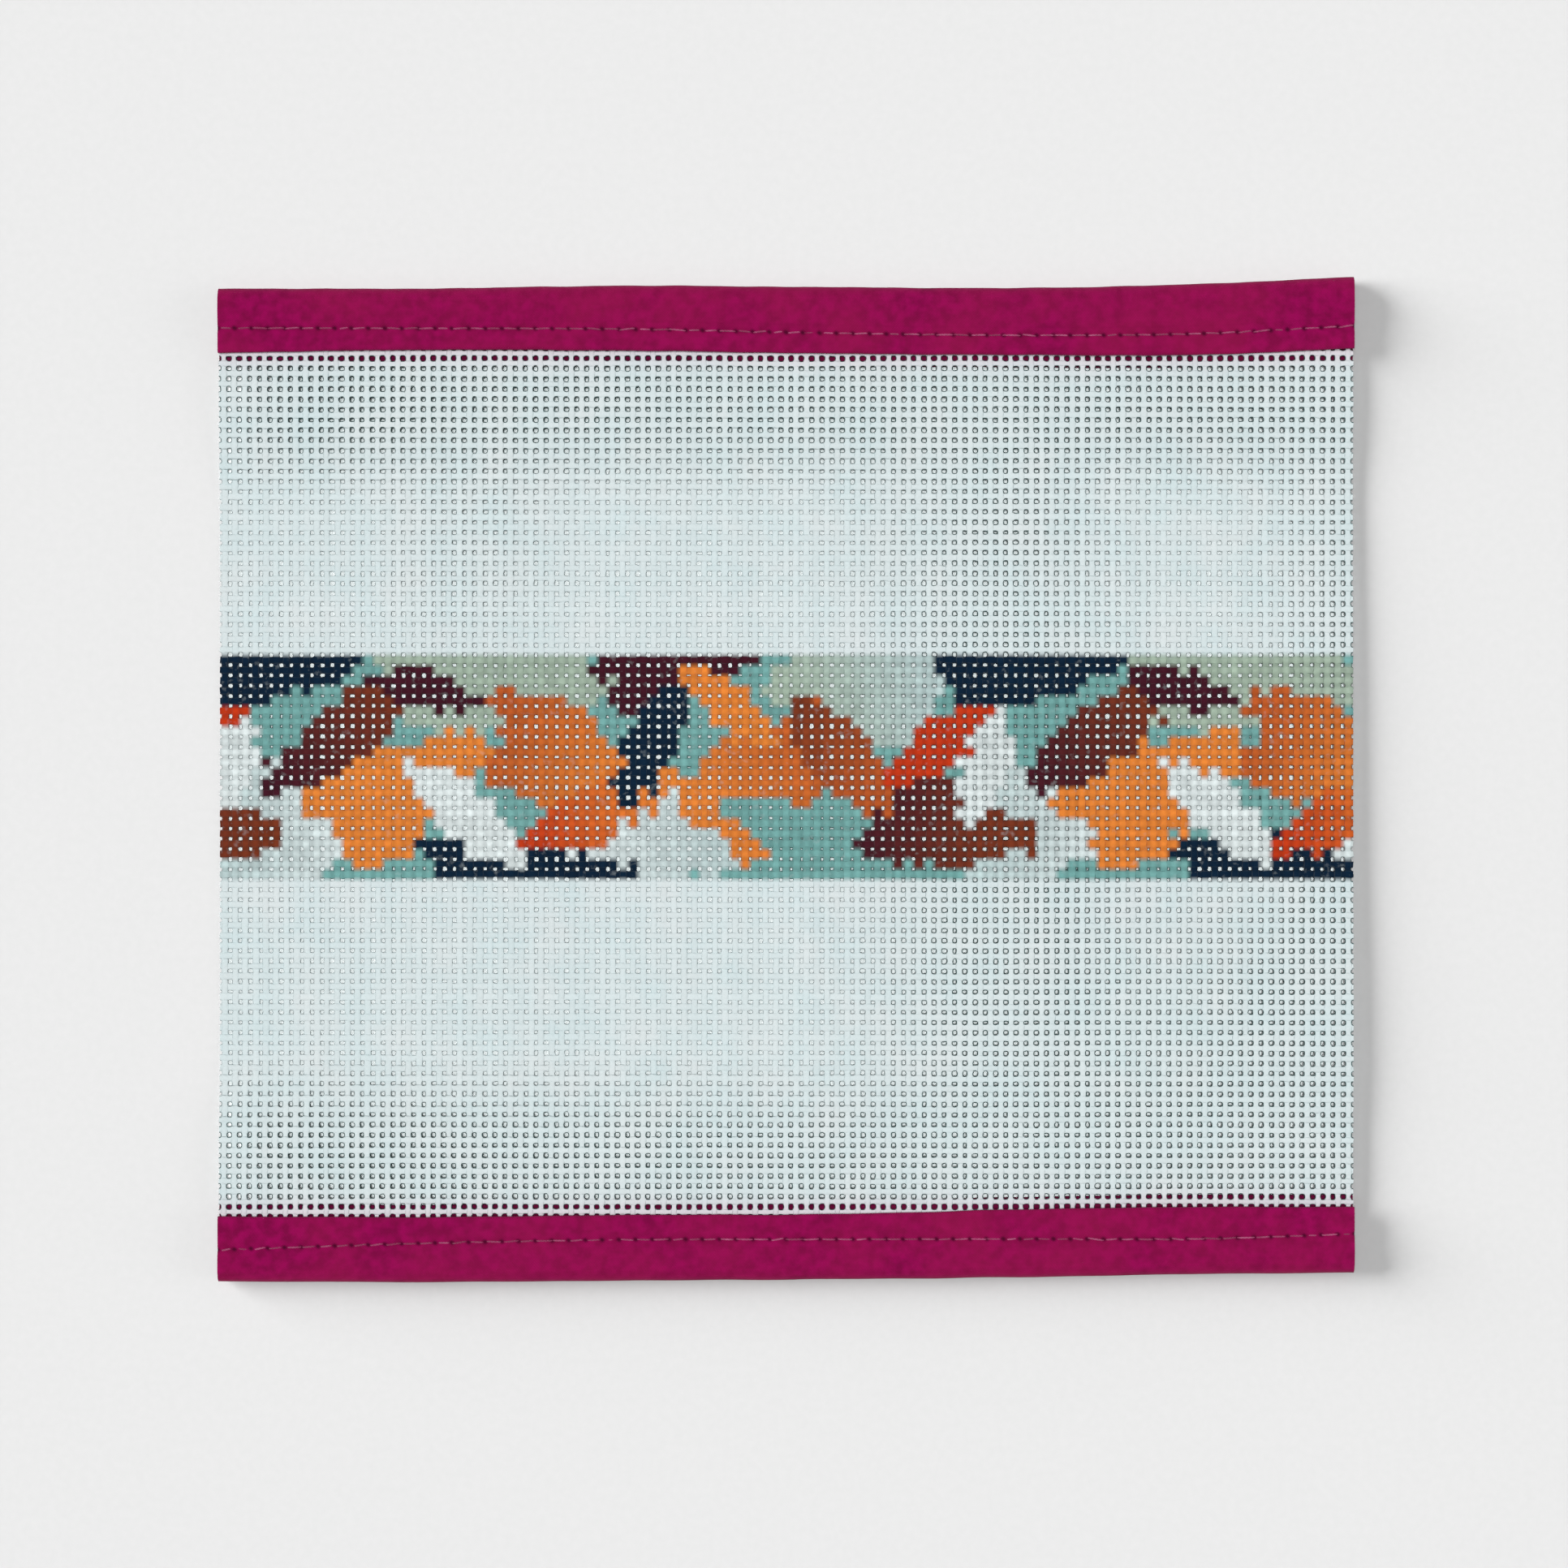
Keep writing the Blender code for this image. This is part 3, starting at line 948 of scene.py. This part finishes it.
def tape_bake_places(ring, outwards):
    """Where the tape's faces go on the bake map: its length across, its section up, its ends in the margins.

    ring is (stations, points round the section, 3).
    """
    stations, around, _ = ring.shape
    step = end_strips(around)
    sizes = np.linalg.norm(np.roll(ring, -1, axis=1) - ring, axis=2).mean(axis=0)
    up = np.concatenate([[0.0], np.cumsum(sizes)]) / sizes.sum()
    across = TAPE_MARGIN + (1 - 2 * TAPE_MARGIN) * np.arange(stations) / (stations - 1)
    station, place = np.meshgrid(np.arange(stations - 1), np.arange(around), indexing="ij")
    here, there = across[station], across[station + 1]
    quads_u = np.stack([here, here, there, there], axis=-1)
    quads_v = np.stack([up[place], up[place + 1], up[place + 1], up[place]], axis=-1)
    rungs = np.linspace(0.0, 1.0, len(step) + 1)
    ends_v = np.stack([rungs[step], rungs[step], rungs[step + 1], rungs[step + 1]], axis=-1)
    left, right = TAPE_MARGIN / 4, 3 * TAPE_MARGIN / 4
    start_u = np.broadcast_to([left, right, right, left], ends_v.shape)
    end_u = 1 - start_u[:, ::-1]
    quads = np.stack([quads_u, quads_v], axis=-1).reshape(-1, 4, 2)
    ends_u = np.concatenate([start_u, end_u])
    ends = np.stack([ends_u, np.concatenate([ends_v, ends_v[:, ::-1]])], axis=-1)
    if outwards < 0:
        quads = quads[:, ::-1]
        ends = ends[:, ::-1]
    return spread(np.concatenate([quads.reshape(-1, 2), ends.reshape(-1, 2)]))


def spread(places):
    """Map places stretched to fill 0 to 1 both ways."""
    low = places.min(axis=0)
    return (places - low) / (places.max(axis=0) - low)


def tape_profile(random, x, width, seam):
    """The tape's middle line at each x, drawn in at the seam: inwards, height and side."""
    section = tape_section(width, seam)
    inwards = np.stack([np.broadcast_to(p[0], x.shape) for p in section], axis=1)
    height = np.stack([np.broadcast_to(p[1], x.shape) for p in section], axis=1)
    side = np.array([p[2] for p in section], dtype=float)[None, :]

    drawn_in = seam_relief(x[:, None] - CANVAS_LEFT, inwards, seam[:, None])
    between = np.clip(inwards / seam[:, None], 0.0, 1.0)
    puffed = PUFF_HEIGHT * np.sin(math.pi * between) ** 2
    swell = SWELL_HEIGHT * soft_noise(random, x / MM, 1, waves=4, longest=60.0, shortest=9.0)[0][:, None]
    swell = swell * np.sin(math.pi * np.clip(inwards / width[:, None], 0.0, 1.0))
    height = height + np.where(side > 0, puffed + swell - drawn_in, 0.0)
    height = height + np.where(side < 0, BACK_DRAWN_IN * np.maximum(drawn_in, 0.0), 0.0)
    wander = EDGE_WANDER * soft_noise(random, x / MM, 1, waves=4, longest=25.0, shortest=3.0)[0][:, None]
    return inwards + wander, height, side


def tape_ring(x, outer, outwards, inwards, height):
    """The tape's surface, as (stations, points round the section, 3), and the section's lengths."""
    travel_in = np.gradient(inwards, axis=1)
    travel_up = np.gradient(height, axis=1)
    length = np.hypot(travel_in, travel_up)
    normal_in = -travel_up / length
    normal_up = travel_in / length
    half = TAPE_THICKNESS / 2
    faces = []
    for sign in (1, -1):
        y = outer[:, None] - outwards * (inwards + sign * half * normal_in)
        up = height + sign * half * normal_up
        faces.append(np.stack([np.broadcast_to(x[:, None], y.shape), y, up], axis=-1))
    return np.concatenate([faces[0], faces[1][:, ::-1]], axis=1), length


def tape_faces(stations, around, outwards):
    """Quads along the closed tape, and the strips that close its two ends."""
    station, place = np.meshgrid(np.arange(stations - 1), np.arange(around), indexing="ij")
    after = (place + 1) % around
    here = station * around
    there = here + around
    quads = np.stack([here + place, here + after, there + after, there + place], axis=-1).reshape(-1, 4)
    step = end_strips(around)
    start_caps = np.stack([step, around - 1 - step, around - 2 - step, step + 1], axis=-1)
    end_caps = (stations - 1) * around + start_caps[:, ::-1]
    caps = np.concatenate([start_caps, end_caps])
    if outwards < 0:
        return quads[:, ::-1], caps[:, ::-1]
    return quads, caps


def both_faces(values):
    """Values across the section for the tape's one face and then, backwards, for its other one."""
    return np.concatenate([values, values[..., ::-1]], axis=-1)


def add_tape_maps(mesh, x, developed, ring, corners, outwards):
    """The cloth map, in millimetres along and across the tape, and the bake map."""
    flat_shape = ring.shape[:2]
    along = np.broadcast_to((x / MM)[:, None], flat_shape)
    across = np.broadcast_to(both_faces(developed)[None, :], flat_shape)
    add_uv(mesh, "cloth", np.stack([along, across], axis=-1).reshape(-1, 2)[corners])
    add_uv(mesh, BAKE_MAP, tape_bake_places(ring, outwards))


def add_tape_values(mesh, x, profile, width, seam):
    """What the binding material reads: painted shade deep in the fold, where the tape is rubbed, and painted
    shade where it is pierced.
    """
    inwards, height, side = profile
    # Where the tape lies deep in the fold under the canvas, and gets painted shade.
    in_fold = (height > BACK_LAYER + TAPE_THICKNESS / 2) & (height < CANVAS_LIFT)
    shade_in_fold = in_fold & (inwards > width[:, None] / 2)
    strength, reach = RUBBED_FOLD
    at_fold = strength * np.exp(-((inwards / reach) ** 2))
    strength, reach = RUBBED_EDGE
    at_edge = strength * np.exp(-(((width[:, None] - inwards) / reach) ** 2)) * (side >= 0)
    pierced = needle_holes(x[:, None] - CANVAS_LEFT, inwards - seam[:, None]) * np.abs(side)
    add_numbers(mesh, "shade_in_fold", both_faces(shade_in_fold))
    add_numbers(mesh, "rubbed", both_faces(at_fold + at_edge))
    add_numbers(mesh, "pierced", both_faces(pierced))


def make_binding(name, node_name, columns, random, finish, sewing_finish):
    """One folded tape, as a closed sheet, with its sewing on both faces."""
    outer_column, seam_column, inner_column = columns
    outwards = 1 if outer_column == "top_outer" else -1
    stations = STITCHES * STEPS_PER_STITCH + 1
    x = CANVAS_LEFT + CANVAS_WIDTH * np.arange(stations) / (stations - 1)
    outer = edge_y(outer_column, x)
    width = np.abs(outer - edge_y(inner_column, x))
    seam = np.abs(outer - edge_y(seam_column, x))
    profile = tape_profile(random, x, width, seam)
    ring, length = tape_ring(x, outer, outwards, profile[0], profile[1])
    developed = np.concatenate([[0.0], np.cumsum(length.mean(axis=0)[1:])]) / MM
    quads, caps = tape_faces(stations, ring.shape[1], outwards)
    mesh = make_mesh(name, ring.reshape(-1, 3), quads, caps)
    add_tape_maps(mesh, x, developed, ring, np.concatenate([quads.ravel(), caps.ravel()]), outwards)
    add_tape_values(mesh, x, profile, width, seam)
    cloth = add_object(name, mesh, finish)
    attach(cloth, "root")
    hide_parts(node_name)
    sewing = make_sewing(name.replace("cloth", "sewing"), seam_column, random, sewing_finish)


def stitch_line(random, seam_column, side, steps, arch):
    """The middle lines of the stitches in front, where side is 1, or at the back, where it is -1."""
    shift = STITCH_SHIFT * random.standard_normal(STITCHES)
    middle = CANVAS_LEFT + STITCH * (np.arange(STITCHES) + 0.5 + shift)
    shown = STITCH * STITCH_SHOWS * (1 + STITCH_LENGTH_VARIES * random.standard_normal(STITCHES))
    x = middle[:, None] + shown[:, None] * (steps - 0.5)[None, :] * STITCH_RUNS_ON
    slant = STITCH_SLANT * random.standard_normal((STITCHES, 1))
    y = edge_y(seam_column, x) + slant * (steps - 0.5)[None, :] * 2
    if side > 0:
        foot = FRONT_LAYER + TAPE_THICKNESS / 2 - TROUGH_DEPTH - STITCH_SUNK
        z = foot + (STITCH_RISE + STITCH_RISE_VARIES * random.standard_normal((STITCHES, 1))) * arch
    else:
        z = BACK_STITCH_TOP - BACK_STITCH_DROP * np.broadcast_to(arch, x.shape)
    return np.stack([x, y, z], axis=-1)


def make_sewing(name, seam_column, random, finish):
    """Lockstitches along the seam: short arched threads on the front, and their mates on the back."""
    steps = np.linspace(0, 1, STITCH_STEPS)
    arch = np.sin(math.pi * steps) ** STITCH_ROUNDNESS
    centres = np.concatenate([stitch_line(random, seam_column, side, steps, arch) for side in (1, -1)])
    swelling = (1 - STITCH_END_WIDTH) * np.sin(math.pi * steps) ** 0.5
    sizes = np.broadcast_to(SEWING_THREAD * (STITCH_END_WIDTH + swelling), centres.shape[:2])
    rings = oval_rings(centres, sizes, sizes, SEWING_SIDES)
    threads, stations = centres.shape[:2]
    quads, caps = tube_faces(threads, stations, SEWING_SIDES)
    mesh = make_mesh(name, rings.reshape(-1, 3), quads, caps)
    along = np.broadcast_to(steps * STITCH / MM, (threads, stations))
    add_thread_maps(mesh, ((along, STITCHES_PER_LANE),), SEWING_SIDES)
    add_numbers(mesh, "tone", np.repeat(random.uniform(0, 1, threads), stations * SEWING_SIDES))
    sewing = add_object(name, mesh, finish)
    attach(sewing, "root")
    return sewing


# The photograph's frame is square, and the panel lies a little off its middle.
FRAME_WIDTH = 217.06 * MM
FRAME_CENTRE = (-0.28 * MM, -0.62 * MM)
LENS = 100.0
SENSOR = 36.0


def make_camera():
    data = bpy.data.cameras.new("camera")
    data.lens = LENS
    data.sensor_width = SENSOR
    camera = add_object("camera", data)
    camera.location = (*FRAME_CENTRE, FRAME_WIDTH * LENS / SENSOR)
    bpy.context.scene.camera = camera


# A soft light from above, and two low ones that fall on the surface alone: a strong one at the left, whose
# soft shadow lies at the right and below, and a faint one at the right.
LIGHT_COLUMNS = ("name", "strength", "softness", "comes_from", "falls_on_all")
LIGHTS = (
    ("ceiling", 2.25, 18.0, (-0.06, 0.04, 1.0), True),
    ("window", 10.8, 40.0, (-1.0, 0.3, 0.27), False),
    ("far_wall", 1.0, 40.0, (1.0, -0.1, 0.26), False),
)
SKY_STRENGTH = 0.2
# Thin cotton lets light through to the surface under it. This light stands for that: it falls straight down
# on the surface alone, inside the panel's outline.
THROUGH_POWER = 0.05
THROUGH_COLOUR = (0.85, 1.0, 1.0)
THROUGH_HEIGHT = 12.0 * MM
THROUGH_SPREAD = 4.0
THROUGH_INSET = 1.0 * MM
FLOOR_REACH = 3.0


def make_light(floor):
    world = bpy.data.worlds.new("pale_room")
    world.use_nodes = True
    background = world.node_tree.nodes["Background"]
    background.inputs["Color"].default_value = (1.0, 1.0, 1.0, 1.0)
    background.inputs["Strength"].default_value = SKY_STRENGTH
    bpy.context.scene.world = world
    for row in LIGHTS:
        light = dict(zip(LIGHT_COLUMNS, row))
        data = bpy.data.lights.new(light["name"], "SUN")
        data.energy = light["strength"]
        data.angle = math.radians(light["softness"])
        sun = add_object(light["name"], data)
        sun.rotation_mode = "QUATERNION"
        sun.rotation_quaternion = Vector(light["comes_from"]).to_track_quat("Z", "Y")
        if not light["falls_on_all"]:
            light_only(sun, floor)


def light_only(light, piece):
    """Makes the light fall on that piece alone. Every piece still casts its shadow."""
    lit = bpy.data.collections.new("lit_by_" + light.name)
    lit.objects.link(piece)
    light.light_linking.receiver_collection = lit


def make_through_light(floor):
    low = edge_column("bottom_inner").min() - THROUGH_INSET
    high = edge_column("top_inner").max() + THROUGH_INSET
    data = bpy.data.lights.new("through_cotton", "AREA")
    data.shape = "RECTANGLE"
    data.size = CANVAS_WIDTH - 2 * THROUGH_INSET
    data.size_y = high - low
    data.spread = math.radians(THROUGH_SPREAD)
    data.energy = THROUGH_POWER
    data.color = THROUGH_COLOUR
    through = add_object("through_cotton", data)
    through.location = (CANVAS_LEFT + CANVAS_WIDTH / 2, (low + high) / 2, THROUGH_HEIGHT)
    through.visible_camera = False
    light_only(through, floor)


def make_floor():
    corners = FLOOR_REACH * np.array([[-1, -1, 0], [1, -1, 0], [1, 1, 0], [-1, 1, 0]])
    mesh = make_mesh("floor", corners, np.array([[0, 1, 2, 3]]))
    floor = add_object("floor", mesh, floor_material())
    return floor


def main():
    random = np.random.default_rng(SEED)
    bpy.context.scene.view_settings.view_transform = "Standard"
    make_camera()
    floor = make_floor()
    make_light(floor)
    make_through_light(floor)
    canvas_finish = canvas_material()
    binding_finish = binding_material()
    sewing_finish = sewing_material()
    band = band_paint(random)
    warps = woven_threads(random, True, band)
    wefts = woven_threads(random, False, band)
    for name, first, last in PIECE_ROWS:
        make_canvas_piece(name, first, last, warps, wefts, canvas_finish)
    for name, node_name, columns in BINDINGS:
        make_binding(name, node_name, columns, random, binding_finish, sewing_finish)


main()
